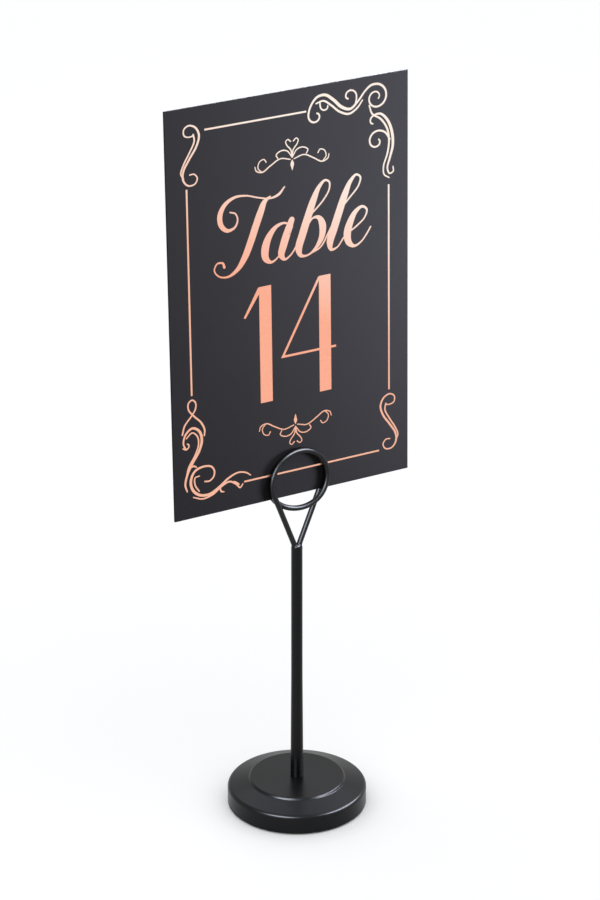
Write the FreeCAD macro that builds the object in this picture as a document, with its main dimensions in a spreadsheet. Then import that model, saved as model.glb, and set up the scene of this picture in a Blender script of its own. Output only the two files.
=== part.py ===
import FreeCAD, Part
import Sketcher
import math
import os

# Table number holder: a weighted round base, a slim stem screwed into it, and a spring-wire ring
# clip that pinches a stiff card. Millimetres, +Z up, origin at the centre of the base's underside,
# the card facing -Y.

os.makedirs("parts", exist_ok=True)
doc = FreeCAD.newDocument("TableNumberHolder")

# Driving dimensions: alias, value, what it is.
dimensions = [
    ("base_radius", 30.5, "outer radius of the base cover"),
    ("rim_gap", 0.5, "height of the cover's lower rim above the table"),
    ("edge_height", 8.86, "where the side wall would meet the sloping shoulder"),
    ("shoulder_radius", 21.3, "radius at the foot of the raised disc"),
    ("shoulder_height", 11.66, "height at the foot of the raised disc"),
    ("disc_radius", 20.55, "radius of the raised disc, before its edge is rounded"),
    ("disc_height", 12.75, "height of the raised disc"),
    ("edge_round", 1.9, "rounding of the cover's outer edge"),
    ("disc_round", 0.9, "rounding of the raised disc's edge"),
    ("foot_round", 0.5, "rounding at the foot of the raised disc"),
    ("sheet", 0.8, "thickness of the cover's sheet steel"),
    ("shoulder_wall", 0.6, "upright thickness of the pressed shoulder"),
    ("disc_wall", 0.72, "thickness of the pressed wall round the raised disc"),
    ("stem_hole", 2.2, "radius of the cover's hole for the stem's spigot"),
    ("pad_radius", 29.0, "radius of the foam pad"),
    ("pad_thickness", 1.9, "thickness of the foam pad"),
    ("weight_gap", 0.1, "gap between the weight and the cover's side wall"),
    ("weight_shoulder", 7.4, "height of the weight's outer part"),
    ("boss_radius", 18.6, "radius of the weight's raised boss"),
    ("weight_chamfer", 0.8, "chamfer on the weight's upper edges"),
    ("bore_radius", 3.0, "radius of the weight's bore, a press fit for the insert"),
    ("flange_radius", 4.6, "radius of the insert's flange"),
    ("flange_thickness", 1.0, "thickness of the insert's flange"),
    ("insert_top", 11.0, "height of the insert's upper end"),
    ("thread_radius", 2.0, "outer radius of the M4 thread"),
    ("thread_gap", 0.05, "running clearance between spigot and insert"),
    ("spigot_end", 4.0, "height of the spigot's lower end"),
    ("spigot_chamfer", 0.5, "lead-in chamfer on the spigot"),
    ("relief_radius", 1.7, "radius of the thread relief under the stem's shoulder"),
    ("relief_length", 1.0, "length of the thread relief"),
    ("stem_foot_radius", 2.86, "stem radius at its foot"),
    ("stem_waist_radius", 2.5, "stem radius where the flare ends"),
    ("stem_waist", 62.0, "height where the flare ends"),
    ("stem_top_radius", 2.45, "stem radius at its top"),
    ("stem_top", 124.1, "height of the stem's top"),
    ("stem_round", 0.25, "rounding of the stem's upper edge"),
    ("wire_radius", 1.2, "radius of the spring wire"),
    ("leg_spacing", 1.25, "distance of each wire leg from the stem's axis"),
    ("fork_height", 1.0, "height of the legs' bend above the stem's top"),
    ("fork_radius", 4.0, "radius of the legs' bend"),
    ("ring_radius", 13.4, "radius of the ring's centre line"),
    ("ring_height", 31.9, "height of the ring's centre above the stem's top"),
    ("turn_spacing", 3.4, "distance between the front and the back turn"),
    ("cross_start", 36.0, "angle below the horizontal where the wire starts to cross to the back"),
    ("ease_length", 7.0, "length over which the front leg levels out below the ring"),
    ("clip_lean", 1.33, "backward lean of the clip and card, in degrees"),
    ("bead_radius", 2.35, "radius of the braze bead at its foot"),
    ("bead_height", 1.6, "height of the braze bead"),
    ("bead_skirt", 0.24, "height of the bead's upright foot"),
    ("bead_middle_radius", 1.88, "radius of the bead halfway up"),
    ("bead_middle", 0.8, "height of the bead's middle"),
    ("bead_crown_radius", 0.94, "radius of the bead near its top"),
    ("bead_crown", 1.44, "height where the bead's crown starts"),
    ("card_width", 113.0, "width of the card"),
    ("card_height", 177.8, "height of the card"),
    ("card_thickness", 0.9, "thickness of the card"),
    ("card_offset", -2.55, "sideways offset of the card's centre from the stem"),
    ("card_bottom", 25.3, "height of the card's lower edge above the stem's top"),
    ("foil_thickness", 0.03, "thickness of the foil lines"),
    ("rule_width", 0.8, "width of the foil lines"),
    ("rule_side", 47.2, "distance of the upright foil lines from the card's centre"),
    ("rule_low", 11.2, "height of the lower foil line on the card"),
    ("rule_high", 167.6, "height of the upper foil line on the card"),
    ("high_start", -38.5, "left end of the upper foil line, from the card's centre"),
    ("high_end", 8.3, "right end of the upper foil line, from the card's centre"),
    ("low_start", -23.5, "left end of the lower foil line, from the card's centre"),
    ("low_end", 42.2, "right end of the lower foil line, from the card's centre"),
    ("left_start", 54.8, "lower end of the left foil line on the card"),
    ("left_end", 143.9, "upper end of the left foil line on the card"),
    ("right_start", 38.3, "lower end of the right foil line on the card"),
    ("right_end", 129.9, "upper end of the right foil line on the card"),
]

sheet = doc.addObject("Spreadsheet::Sheet", "Sizes")
for row, (alias, value, meaning) in enumerate(dimensions, start=1):
    sheet.set("A%d" % row, alias)
    sheet.set("B%d" % row, str(value))
    sheet.setAlias("B%d" % row, alias)
    sheet.set("C%d" % row, meaning)
doc.recompute()

names = [alias for alias, value, meaning in dimensions]


def size(alias):
    """Value of one cell of the sheet."""
    return float(sheet.get(alias))


def formula(text):
    """An expression for setExpression: every alias in the text is read from the sheet."""
    words = text.replace("(", " ( ").replace(")", " ) ").split()
    return " ".join("Sizes." + word if word in names else word for word in words)


def value_of(text):
    """Number that a formula gives now."""
    return float(sheet.evalExpression(formula(text)))


# ---- helpers for PartDesign bodies ----

def new_body(label):
    body = doc.addObject("PartDesign::Body", label)
    body.Label = label
    return body


def origin_plane(body, role):
    return next(item for item in body.Origin.OriginFeatures if item.Role == role)


def new_sketch(body, name, role):
    sketch = body.newObject("Sketcher::SketchObject", name)
    sketch.AttachmentSupport = (origin_plane(body, role), [""])
    sketch.MapMode = "FlatFace"
    return sketch


def pin_coordinate(sketch, kind, axis, line, text):
    """Fix one coordinate of a line's start point by a formula of the sheet."""
    if abs(value_of(text)) < 1e-9:
        sketch.addConstraint(Sketcher.Constraint("PointOnObject", line, 1, axis))
        return
    index = sketch.addConstraint(Sketcher.Constraint(kind, -1, 1, line, 1, value_of(text)))
    sketch.setExpression("Constraints[%d]" % index, formula(text))


def closed_outline(sketch, corners):
    """Closed polygon through corners, each a pair of formulas."""
    points = [FreeCAD.Vector(value_of(x), value_of(y), 0) for x, y in corners]
    count = len(points)
    for i in range(count):
        sketch.addGeometry(Part.LineSegment(points[i], points[(i + 1) % count]), False)
    for i in range(count):
        sketch.addConstraint(Sketcher.Constraint("Coincident", i, 2, (i + 1) % count, 1))
    for i, (x, y) in enumerate(corners):
        pin_coordinate(sketch, "DistanceX", -2, i, x)
        pin_coordinate(sketch, "DistanceY", -1, i, y)


def revolve(body, name, corners, cut=False):
    """Revolve an outline of (radius, height) corners about Z, as solid or as groove."""
    sketch = new_sketch(body, name + "_outline", "XZ_Plane")
    closed_outline(sketch, corners)
    doc.recompute()
    feature = body.newObject("PartDesign::Groove" if cut else "PartDesign::Revolution", name)
    feature.Profile = sketch
    feature.ReferenceAxis = (sketch, ["V_Axis"])
    feature.Angle = 360.0
    doc.recompute()
    return feature


def circle_edges(shape, radius, height):
    """Names of the circular edges of that radius about Z at that height."""
    found = []
    for index, edge in enumerate(shape.Edges, start=1):
        curve = edge.Curve
        if isinstance(curve, Part.Circle):
            if abs(curve.Radius - radius) < 1e-3 and abs(curve.Center.z - height) < 1e-3:
                found.append("Edge%d" % index)
    if not found:
        raise RuntimeError("no edge of radius %.3f at height %.3f" % (radius, height))
    return found


def dress(body, kind, name, base, places, amount):
    """Fillet or chamfer the circular edges at the given (radius, height) places."""
    edges = []
    for radius, height in places:
        edges += circle_edges(base.Shape, value_of(radius), value_of(height))
    feature = body.newObject("PartDesign::" + kind, name)
    feature.Base = (base, edges)
    prop = "Radius" if kind == "Fillet" else "Size"
    feature.setExpression(prop, formula(amount))
    doc.recompute()
    return feature


# ---- base ----

def make_base_cover():
    body = new_body("base_cover")
    outside = revolve(body, "pressing", [
        ("0", "rim_gap"),
        ("base_radius", "rim_gap"),
        ("base_radius", "edge_height"),
        ("shoulder_radius", "shoulder_height"),
        ("disc_radius", "disc_height"),
        ("0", "disc_height"),
    ])
    edge = dress(body, "Fillet", "outer_edge", outside, [("base_radius", "edge_height")], "edge_round")
    disc = dress(body, "Fillet", "disc_edge", edge, [("disc_radius", "disc_height")], "disc_round")
    foot = dress(body, "Fillet", "disc_foot", disc, [("shoulder_radius", "shoulder_height")],
                 "foot_round")
    inside = revolve(body, "hollow", [
        ("0", "rim_gap"),
        ("base_radius - sheet", "rim_gap"),
        ("base_radius - sheet", "edge_height - shoulder_wall"),
        ("shoulder_radius - sheet", "shoulder_height - shoulder_wall"),
        ("disc_radius - disc_wall", "disc_height - sheet"),
        ("0", "disc_height - sheet"),
    ], cut=True)
    dress(body, "Fillet", "inner_edge", inside,
          [("base_radius - sheet", "edge_height - shoulder_wall")], "edge_round - sheet")
    revolve(body, "stem_hole", [
        ("0", "disc_height - sheet * 2"),
        ("stem_hole", "disc_height - sheet * 2"),
        ("stem_hole", "disc_height + sheet"),
        ("0", "disc_height + sheet"),
    ], cut=True)
    return body


def make_base_weight():
    body = new_body("base_weight")
    side = "base_radius - sheet - weight_gap"
    disc = revolve(body, "casting", [
        ("0", "pad_thickness"),
        (side, "pad_thickness"),
        (side, "weight_shoulder"),
        ("boss_radius", "weight_shoulder"),
        ("boss_radius", "disc_height - sheet"),
        ("0", "disc_height - sheet"),
    ])
    dress(body, "Chamfer", "edges", disc,
          [(side, "weight_shoulder"), ("boss_radius", "disc_height - sheet")],
          "weight_chamfer")
    revolve(body, "bore", [
        ("0", "pad_thickness"),
        ("flange_radius", "pad_thickness"),
        ("flange_radius", "pad_thickness + flange_thickness"),
        ("bore_radius", "pad_thickness + flange_thickness"),
        ("bore_radius", "disc_height - sheet"),
        ("0", "disc_height - sheet"),
    ], cut=True)
    return body


def make_weight_insert():
    body = new_body("weight_insert")
    revolve(body, "insert", [
        ("thread_radius + thread_gap", "pad_thickness"),
        ("flange_radius", "pad_thickness"),
        ("flange_radius", "pad_thickness + flange_thickness"),
        ("bore_radius", "pad_thickness + flange_thickness"),
        ("bore_radius", "insert_top"),
        ("thread_radius + thread_gap", "insert_top"),
    ])
    return body


def make_base_pad():
    body = new_body("base_pad")
    sketch = new_sketch(body, "pad_outline", "XY_Plane")
    sketch.addGeometry(Part.Circle(FreeCAD.Vector(0, 0, 0), FreeCAD.Vector(0, 0, 1),
                                   size("pad_radius")), False)
    sketch.addConstraint(Sketcher.Constraint("Coincident", 0, 3, -1, 1))
    index = sketch.addConstraint(Sketcher.Constraint("Radius", 0, size("pad_radius")))
    sketch.setExpression("Constraints[%d]" % index, formula("pad_radius"))
    pad = body.newObject("PartDesign::Pad", "foam")
    pad.Profile = sketch
    pad.setExpression("Length", formula("pad_thickness"))
    doc.recompute()
    return body


# ---- stem ----

def make_stem_rod():
    body = new_body("stem_rod")
    rod = revolve(body, "turning", [
        ("0", "spigot_end"),
        ("thread_radius", "spigot_end"),
        ("thread_radius", "disc_height - relief_length"),
        ("relief_radius", "disc_height - relief_length"),
        ("relief_radius", "disc_height"),
        ("stem_foot_radius", "disc_height"),
        ("stem_waist_radius", "stem_waist"),
        ("stem_top_radius", "stem_top"),
        ("0", "stem_top"),
    ])
    lead = dress(body, "Chamfer", "lead_in", rod, [("thread_radius", "spigot_end")],
                 "spigot_chamfer")
    dress(body, "Fillet", "top_edge", lead, [("stem_top_radius", "stem_top")], "stem_round")
    return body


# ---- clip: the wire's route, in the clip's own plane and then leaned back ----

def clip_placement():
    """The clip's plane leans back about the stem's top."""
    turn = FreeCAD.Rotation(FreeCAD.Vector(1, 0, 0), -size("clip_lean"))
    return FreeCAD.Placement(FreeCAD.Vector(0, 0, size("stem_top")), turn)


def fork_angle():
    """Angle of a leg from the upright, so that it meets the ring at a tangent."""
    rise = size("ring_height") - size("fork_height")
    reach = math.hypot(rise, size("leg_spacing"))
    return math.asin(size("ring_radius") / reach) - math.atan2(size("leg_spacing"), rise)


def leg_length():
    """Length of a leg from its bend to the ring."""
    rise = size("ring_height") - size("fork_height")
    return math.sqrt(rise ** 2 + size("leg_spacing") ** 2 - size("ring_radius") ** 2)


def smooth_step(travel, start, end):
    """0 before start, 1 after end, level at both ends."""
    t = min(max((travel - start) / (end - start), 0.0), 1.0)
    return t * t * (3 - 2 * t)


def front_set(travel):
    """Share of the turn spacing by which the front leg stands forward: it grows evenly along the
    leg, which starts at travel 0, and levels out before the leg meets the ring."""
    ease = size("ease_length")
    end = leg_length()
    ramp = end - ease / 2
    if travel < end - ease:
        return travel / ramp
    if travel < end:
        return 1 - (end - travel) ** 2 / (2 * ease * ramp)
    return 1.0


def ring_points(step=1.5):
    """Centre line from the last of the left leg round the front turn, across below the card and
    round the back turn to the right leg. Depth 0 is the back turn's plane."""
    angle = fork_angle()
    radius = size("ring_radius")
    leg = leg_length()
    sweep = 3 * math.pi + 2 * angle
    cross_from = math.pi + angle + math.radians(size("cross_start"))
    cross_to = cross_from + math.pi - 2 * math.radians(size("cross_start"))
    start = leg - size("ease_length")
    count = round((leg + sweep * radius - start) / step)
    points = []
    for i in range(count + 1):
        travel = start + (leg + sweep * radius - start) * i / count
        if travel < leg:
            x = -radius * math.cos(angle) + (leg - travel) * math.sin(angle)
            z = size("ring_height") - radius * math.sin(angle) - (leg - travel) * math.cos(angle)
            forward = front_set(travel)
        else:
            turned = (travel - leg) / radius
            x = radius * math.cos(math.pi + angle - turned)
            z = size("ring_height") + radius * math.sin(math.pi + angle - turned)
            forward = front_set(travel) - smooth_step(turned, cross_from, cross_to)
        points.append(FreeCAD.Vector(x, -size("turn_spacing") * forward, z))
    return points


def bend(before, corner, after, radius):
    """Arc of the given radius that rounds a corner, and the two points where it starts and ends."""
    inward = (before - corner).normalize()
    outward = (after - corner).normalize()
    half = inward.getAngle(outward) / 2
    reach = radius / math.tan(half)
    start = corner + inward * reach
    end = corner + outward * reach
    middle = (inward + outward).normalize() * (radius / math.sin(half) - radius) + corner
    return start, Part.Arc(start, middle, end), end


def clip_route():
    """The wire's centre line: foot, bend and leg on each side, joined by the ring's spline."""
    ring = ring_points()
    foot_depth = FreeCAD.Vector(0, 0, size("fork_height") + size("wire_radius"))
    left_corner = FreeCAD.Vector(-size("leg_spacing"), 0, size("fork_height"))
    right_corner = FreeCAD.Vector(size("leg_spacing"), 0, size("fork_height"))
    left_foot = left_corner - foot_depth
    right_foot = right_corner - foot_depth
    left_start, left_arc, left_end = bend(left_foot, left_corner, ring[0], size("fork_radius"))
    right_start, right_arc, right_end = bend(ring[-1], right_corner, right_foot,
                                             size("fork_radius"))
    spline = Part.BSplineCurve()
    spline.interpolate(Points=ring, InitialTangent=(ring[0] - left_end).normalize(),
                       FinalTangent=(right_start - ring[-1]).normalize(), Scale=False)
    edges = [
        Part.LineSegment(left_foot, left_start).toShape(),
        left_arc.toShape(),
        Part.LineSegment(left_end, ring[0]).toShape(),
        spline.toShape(),
        Part.LineSegment(ring[-1], right_start).toShape(),
        right_arc.toShape(),
        Part.LineSegment(right_end, right_foot).toShape(),
    ]
    return Part.Wire(edges)


def make_clip_wire():
    route = doc.addObject("Part::Feature", "clip_route")
    route.Shape = clip_route()
    route.Placement = clip_placement()
    section = doc.addObject("Part::Circle", "wire_section")
    section.setExpression("Radius", formula("wire_radius"))
    foot = FreeCAD.Vector(-size("leg_spacing"), 0, -size("wire_radius"))
    section.Placement = clip_placement().multiply(FreeCAD.Placement(foot, FreeCAD.Rotation()))
    wire = doc.addObject("Part::Sweep", "bent_wire")
    wire.Sections = [section]
    wire.Spine = (route, ["Edge%d" % (i + 1) for i in range(len(route.Shape.Edges))])
    wire.Solid = True
    wire.Frenet = False
    doc.recompute()
    expected = math.pi * size("wire_radius") ** 2 * route.Shape.Length
    print("wire length %.2f, volume %.2f, expected %.2f" % (route.Shape.Length,
                                                            wire.Shape.Volume, expected))
    if abs(wire.Shape.Volume / expected - 1) > 0.01:
        raise RuntimeError("the wire's volume is wrong")

    waste = doc.addObject("Part::Cylinder", "foot_waste")
    waste.setExpression("Radius", formula("stem_foot_radius + wire_radius"))
    waste.setExpression("Height", formula("wire_radius * 2"))
    waste.setExpression("Placement.Base.z", formula("stem_top - wire_radius * 2"))
    clip = doc.addObject("Part::Cut", "clip_wire")
    clip.Label = "clip_wire"
    clip.Base = wire
    clip.Tool = waste
    doc.recompute()
    return clip


def make_braze_bead(clip):
    blank = new_body("bead_blank")
    revolve(blank, "bead", [
        ("0", "stem_top"),
        ("bead_radius", "stem_top"),
        ("bead_radius", "stem_top + bead_skirt"),
        ("bead_middle_radius", "stem_top + bead_middle"),
        ("bead_crown_radius", "stem_top + bead_crown"),
        ("0", "stem_top + bead_height"),
    ])
    bead = doc.addObject("Part::Cut", "braze_bead")
    bead.Label = "braze_bead"
    bead.Base = blank
    bead.Tool = clip
    doc.recompute()
    return bead


# ---- card: boxes drawn flat on the clip's plane ----

def card_box(label, left, depth, low, width, thickness, height):
    """Box whose corner and sizes are formulas in the card's own frame: x from the card's centre
    line, depth from the back turn's plane, height from the card's lower edge."""
    box = doc.addObject("Part::Box", label)
    box.Label = label
    box.setExpression("Length", formula(width))
    box.setExpression("Width", formula(thickness))
    box.setExpression("Height", formula(height))
    corner = FreeCAD.Vector(value_of("card_offset + " + left), value_of(depth),
                            value_of("card_bottom + " + low))
    box.Placement = clip_placement().multiply(FreeCAD.Placement(corner, FreeCAD.Rotation()))
    return box


def make_number_card():
    return card_box("number_card", "card_width * -0.5", "(card_thickness + turn_spacing) * -0.5",
                    "0", "card_width", "card_thickness", "card_height")


def make_foil_rules():
    front = "(card_thickness + turn_spacing) * -0.5 - foil_thickness"
    half = " - rule_width / 2"
    rules = [
        card_box("rule_high", "high_start", front, "rule_high" + half,
                 "high_end - high_start", "foil_thickness", "rule_width"),
        card_box("rule_low", "low_start", front, "rule_low" + half,
                 "low_end - low_start", "foil_thickness", "rule_width"),
        card_box("rule_left", "rule_side * -1" + half, front, "left_start",
                 "rule_width", "foil_thickness", "left_end - left_start"),
        card_box("rule_right", "rule_side" + half, front, "right_start",
                 "rule_width", "foil_thickness", "right_end - right_start"),
    ]
    group = doc.addObject("Part::Compound", "foil_rules")
    group.Label = "foil_rules"
    group.Links = rules
    return group


# ---- build, check and write ----

cover = make_base_cover()
weight = make_base_weight()
insert = make_weight_insert()
pad = make_base_pad()
rod = make_stem_rod()
clip = make_clip_wire()
bead = make_braze_bead(clip)
card = make_number_card()
rules = make_foil_rules()
doc.recompute()

for item in doc.Objects:
    if "Invalid" in item.State or "Error" in item.State:
        raise RuntimeError("%s failed: %s" % (item.Name, item.State))

for node in (cover, weight, insert, pad, rod, clip, bead, card, rules):
    shape = node.Shape
    if shape.isNull() or not shape.isValid() or not shape.Solids:
        raise RuntimeError("%s has no valid solid" % node.Label)
    print("%-14s solids %d, volume %9.2f mm3, height %.2f to %.2f" % (
        node.Label, len(shape.Solids), shape.Volume, shape.BoundBox.ZMin, shape.BoundBox.ZMax))
    shape.exportStep("parts/%s.step" % node.Label)
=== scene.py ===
import math
import bmesh
import bpy
from mathutils import Matrix, Vector


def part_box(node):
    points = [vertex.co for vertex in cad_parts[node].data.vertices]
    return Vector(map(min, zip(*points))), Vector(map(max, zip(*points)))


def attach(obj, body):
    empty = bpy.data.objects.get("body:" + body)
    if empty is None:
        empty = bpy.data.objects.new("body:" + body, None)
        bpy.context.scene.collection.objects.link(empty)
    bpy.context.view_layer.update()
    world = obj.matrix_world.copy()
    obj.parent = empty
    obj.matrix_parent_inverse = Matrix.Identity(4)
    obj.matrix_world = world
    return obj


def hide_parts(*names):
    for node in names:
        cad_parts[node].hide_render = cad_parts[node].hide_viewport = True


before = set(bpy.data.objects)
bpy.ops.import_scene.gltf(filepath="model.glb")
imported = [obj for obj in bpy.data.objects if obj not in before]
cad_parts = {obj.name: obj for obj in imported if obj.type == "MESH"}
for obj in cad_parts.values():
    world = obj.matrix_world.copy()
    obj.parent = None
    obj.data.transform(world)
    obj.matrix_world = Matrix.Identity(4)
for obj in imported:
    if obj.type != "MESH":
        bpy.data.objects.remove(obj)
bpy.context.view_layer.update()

# A table number holder: weighted base, stem, wire ring clip and foil-printed card. Sizes in the
# pieces' dictionaries are in millimetres, and mm turns them into metres.
mm = 0.001
print("frame loaded:", ", ".join(sorted(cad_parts)))


# One output socket: the arithmetic operators add Math nodes to its tree.
class Value:
    def __init__(self, graph, socket):
        self.graph = graph
        self.socket = socket

    def math(self, operation, a, b):
        return self.graph.add("ShaderNodeMath", dict(operation=operation), {0: a, 1: b})

    def __add__(self, other):
        return self.math("ADD", self, other)

    def __sub__(self, other):
        return self.math("SUBTRACT", self, other)

    def __rsub__(self, other):
        return self.math("SUBTRACT", other, self)

    def __mul__(self, other):
        return self.math("MULTIPLY", self, other)

    __radd__ = __add__
    __rmul__ = __mul__


# A node tree, of a material or of Geometry Nodes.
class Graph:
    def __init__(self, tree):
        self.tree = tree

    def put(self, socket, value):
        if isinstance(value, Value):
            self.tree.links.new(value.socket, socket)
        else:
            socket.default_value = value

    def add(self, kind, settings=None, inputs=None, out=0):
        node = self.tree.nodes.new(kind)
        for key, value in (settings or {}).items():
            setattr(node, key, value)
        for key, value in (inputs or {}).items():
            self.put(node.inputs[key], value)
        return Value(self, node.outputs[out])


# A material on Object coordinates, with the finishes' usual nodes.
class Finish(Graph):
    def __init__(self, name, **fixed):
        self.material = bpy.data.materials.new(name)
        self.material.use_nodes = True
        super().__init__(self.material.node_tree)
        self.shader = self.tree.nodes["Principled BSDF"]
        for key, value in fixed.items():
            self.shader.inputs[key.replace("_", " ")].default_value = value
        self.place = self.add("ShaderNodeTexCoord", out="Object")

    def stretched(self, scale):
        return self.add("ShaderNodeMapping", None, {"Vector": self.place, "Scale": scale})

    def noise(self, size, detail=3.0, rough=0.5, place=None):
        return self.add("ShaderNodeTexNoise", None,
                        {"Vector": place or self.place, "Scale": 1 / size, "Detail": detail,
                         "Roughness": rough})

    def cells(self, size):
        return self.add("ShaderNodeTexVoronoi", None, {"Vector": self.place, "Scale": 1 / size})

    def remap(self, value, low, high, toLow=0.0, toHigh=1.0):
        return self.add("ShaderNodeMapRange", None,
                        {"Value": value, "From Min": low, "From Max": high, "To Min": toLow,
                         "To Max": toHigh})

    def mix(self, factor, a, b):
        return self.add("ShaderNodeMix", dict(data_type="RGBA"), {0: factor, 6: a, 7: b}, out=2)

    def bump(self, height, distance):
        return self.add("ShaderNodeBump", None,
                        {"Height": height, "Distance": distance, "Strength": 1.0})

    def done(self, **links):
        for key, value in links.items():
            self.put(self.shader.inputs[key.replace("_", " ")], value)
        return self.material


# Satin black paint: how light it is, its roughness, the size and depth of its grain, its gloss.
def satinBlack(name, shade, roughness, grain, relief, gloss):
    finish = Finish(name, Specular_IOR_Level=gloss)
    cloud = finish.noise(14 * mm, 2.0)
    fine = finish.noise(grain, 2.0, 0.5)
    tone = finish.remap(cloud * 0.5 + fine * 0.5, 0.35, 0.65)
    dark = (shade * 0.8, shade * 0.8, shade * 0.84, 1)
    light = (shade * 1.25, shade * 1.25, shade * 1.32, 1)
    return finish.done(
        Base_Color=finish.mix(tone, dark, light),
        Roughness=finish.remap(fine * 0.3 + cloud, 0.4, 0.9, roughness - 0.02, roughness + 0.03),
        Normal=finish.bump(fine, relief))


def charcoalCard():
    finish = Finish("charcoalCard", Specular_IOR_Level=0.05)
    cloud = finish.noise(30 * mm, 3.0)
    fibre = finish.noise(0.9 * mm, 5.0, 0.65, finish.stretched((1, 1, 0.55)))
    tooth = finish.noise(0.22 * mm, 2.0, 0.6)
    tone = finish.remap(fibre * 0.6 + cloud * 0.3 + tooth * 0.1, 0.38, 0.62)
    return finish.done(
        Base_Color=finish.mix(tone, (0.0035, 0.0030, 0.0034, 1), (0.0044, 0.0038, 0.0042, 1)),
        Roughness=finish.remap(fibre, 0.3, 0.7, 0.56, 0.68),
        Normal=finish.bump(fibre * 0.6 + tooth * 0.4, 0.012 * mm))


# Hot foil between a deep and a bright tone, with a painted reflection turning it cream towards
# the card's upper right; low and high are the card's corners.
def roseFoil(name, low, high, deep, bright):
    finish = Finish(name, Metallic=1.0)
    sideways = finish.add("ShaderNodeSeparateXYZ", None, {"Vector": finish.place}, out=0)
    upwards = finish.add("ShaderNodeSeparateXYZ", None, {"Vector": finish.place}, out=2)
    across = finish.remap(sideways, low[0], high[0])
    height = finish.remap(upwards, low[2], high[2])
    cloud = finish.noise(22 * mm, 2.0)
    # painted reflection: the foil is mixed towards cream to the card's upper right, with a little
    # cloud
    paintedReflection = finish.remap(across * 0.6 + height * 1.3 + cloud * 0.16, 1.0, 1.58)
    grain = finish.noise(0.5 * mm, 4.0, 0.6)
    ripple = finish.noise(3.5 * mm, 2.0)
    rose = finish.mix(finish.remap(grain, 0.35, 0.65), deep, bright)
    return finish.done(
        # the cream colour here is the painted reflection
        Base_Color=finish.mix(paintedReflection, rose, (1.0, 0.88, 0.78, 1)),
        Roughness=finish.remap(grain, 0.3, 0.7, 0.30, 0.42),
        Normal=finish.bump(ripple + grain * 0.2, 0.01 * mm))


def castIron():
    finish = Finish("castIron", Metallic=0.7)
    sand = finish.noise(0.7 * mm, 6.0, 0.7)
    cloud = finish.noise(9 * mm, 3.0)
    rust = finish.remap(cloud, 0.56, 0.72)
    iron = finish.mix(sand, (0.045, 0.044, 0.043, 1), (0.12, 0.118, 0.115, 1))
    return finish.done(
        Base_Color=finish.mix(rust * 0.35, iron, (0.16, 0.065, 0.03, 1)),
        Roughness=finish.remap(sand, 0.3, 0.7, 0.55, 0.85),
        Normal=finish.bump(sand, 0.12 * mm))


def turnedBrass():
    finish = Finish("turnedBrass", Metallic=1.0)
    rings = finish.noise(0.12 * mm, 2.0, 0.5, finish.stretched((0.02, 0.02, 1)))
    dull = finish.noise(2.5 * mm, 3.0)
    return finish.done(
        Base_Color=finish.mix(dull, (0.62, 0.41, 0.15, 1), (0.80, 0.58, 0.25, 1)),
        Roughness=finish.remap(rings + dull, 0.7, 1.3, 0.2, 0.38),
        Normal=finish.bump(rings, 0.01 * mm))


def foamBlack():
    finish = Finish("foamBlack", Specular_IOR_Level=0.25)
    cell = finish.cells(0.55 * mm)
    cloud = finish.noise(6 * mm, 3.0)
    tone = finish.remap(cell + cloud * 0.4, 0.2, 0.9)
    return finish.done(
        Base_Color=finish.mix(tone, (0.010, 0.010, 0.011, 1), (0.032, 0.032, 0.034, 1)),
        Roughness=finish.remap(cloud, 0.3, 0.7, 0.85, 0.97),
        Normal=finish.bump(cell, 0.10 * mm))


def newPiece(name, mesh, body, finish, standsFor=()):
    mesh.name = name
    mesh.materials.clear()
    mesh.materials.append(finish)
    piece = bpy.data.objects.new(name, mesh)
    bpy.context.scene.collection.objects.link(piece)
    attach(piece, body)
    if standsFor:
        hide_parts(*standsFor)
    return piece


# Rounds the corners of an outline of (radius, height, rounding) rows, with a short run of face
# kept at each end of an arc so that flat parts stay flat when shaded.
def roundedOutline(rows, steps=10, keep=0.04):
    outline = []
    for i, (r, z, rounding) in enumerate(rows):
        corner = Vector((r, z))
        if not rounding:
            outline.append(corner)
            continue
        before = (Vector(rows[i - 1][:2]) - corner).normalized()
        after = (Vector(rows[(i + 1) % len(rows)][:2]) - corner).normalized()
        half = before.angle(after) / 2
        reach = rounding / math.tan(half)
        centre = corner + (before + after).normalized() * (rounding / math.sin(half))
        start = corner + before * reach - centre
        swing = start.angle_signed(corner + after * reach - centre)
        outline.append(corner + before * (reach + keep))
        for k in range(steps + 1):
            turn = -swing * k / steps
            outline.append(centre + Vector((start.x * math.cos(turn) - start.y * math.sin(turn),
                                            start.x * math.sin(turn) + start.y * math.cos(turn))))
        outline.append(corner + after * (reach + keep))
    return outline


poleRadius = 1e-6  # a point of an outline nearer to the axis than this becomes a pole


# Turns a closed outline about the upright axis.
def turned(name, outline, sides=144):
    shape = bmesh.new()
    rings = []
    for r, z in outline:
        if r < poleRadius:
            rings.append([shape.verts.new((0, 0, z * mm))])
        else:
            rings.append([shape.verts.new((r * mm * math.cos(2 * math.pi * k / sides),
                                           r * mm * math.sin(2 * math.pi * k / sides), z * mm))
                          for k in range(sides)])
    for a, b in zip(rings, rings[1:] + rings[:1]):
        if len(a) == 1 and len(b) == 1:
            continue
        for k in range(sides):
            n = (k + 1) % sides
            corners = [a[k % len(a)], a[n % len(a)], b[n % len(b)], b[k % len(b)]]
            shape.faces.new(list(dict.fromkeys(corners)))
    bmesh.ops.recalc_face_normals(shape, faces=shape.faces)
    return meshFrom(name, shape)


def meshFrom(name, shape, sharpAngle=40):
    mesh = bpy.data.meshes.new(name)
    shape.to_mesh(mesh)
    shape.free()
    mesh.polygons.foreach_set("use_smooth", [True] * len(mesh.polygons))
    mesh.set_sharp_from_angle(angle=math.radians(sharpAngle))
    return mesh


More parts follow.
